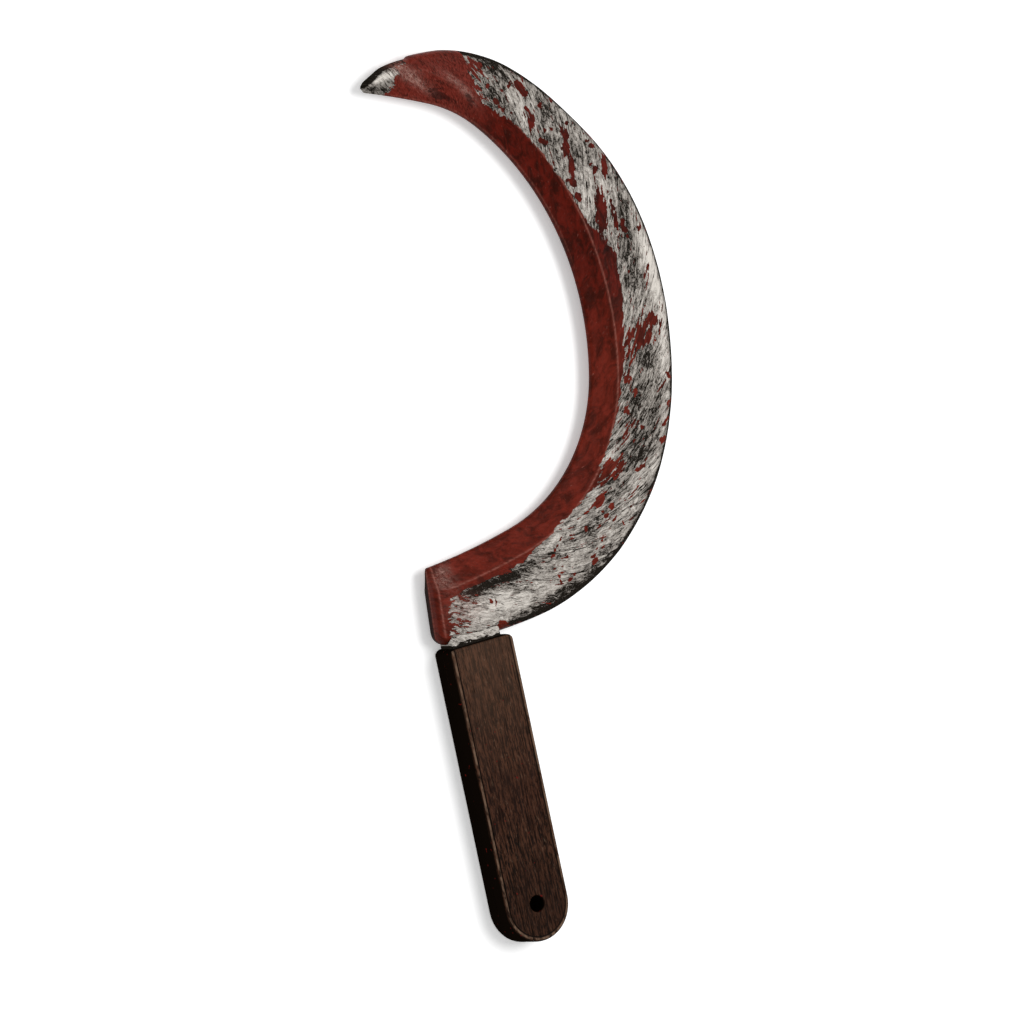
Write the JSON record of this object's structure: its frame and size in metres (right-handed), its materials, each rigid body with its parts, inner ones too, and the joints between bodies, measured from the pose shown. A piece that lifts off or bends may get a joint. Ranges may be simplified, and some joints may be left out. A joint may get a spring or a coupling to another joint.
{
  "type": "stage sickle",
  "caption": "Hand sickle prop: a deep crescent blade in hollow moulded halves, plugged into a slab-sided wood-grain handle with a hanging hole.",
  "frame": {"origin": "where the hanging hole's axis meets the handle's back face", "axes": "+Y along the handle towards the blade, +X towards the belly of the crescent, +Z out of the front face along the hanging hole"},
  "size_m": [0.178, 0.4607, 0.017],
  "materials": {
    "blade_front_paint": "silver dry-brushed over black, dark red stage paint, satin to gloss",
    "blade_back_paint": "silver dry-brushed over black, dark red stage paint, satin to gloss",
    "handle_front_plastic": "moulded wood grain, dark brown, low sheen",
    "handle_back_plastic": "moulded wood grain, dark brown, low sheen",
    "screw_steel": "zinc-plated self-tapping screws"
  },
  "bodies": {
    "root": {"blade_front_half": "blade_front_paint", "blade_back_half": "blade_back_paint", "handle_front_half": "handle_front_plastic", "handle_back_half": "handle_back_plastic", "handle_screw_1": "screw_steel", "handle_screw_2": "screw_steel", "handle_screw_3": "screw_steel", "handle_screw_4": "screw_steel"}
  },
  "joints": []
}
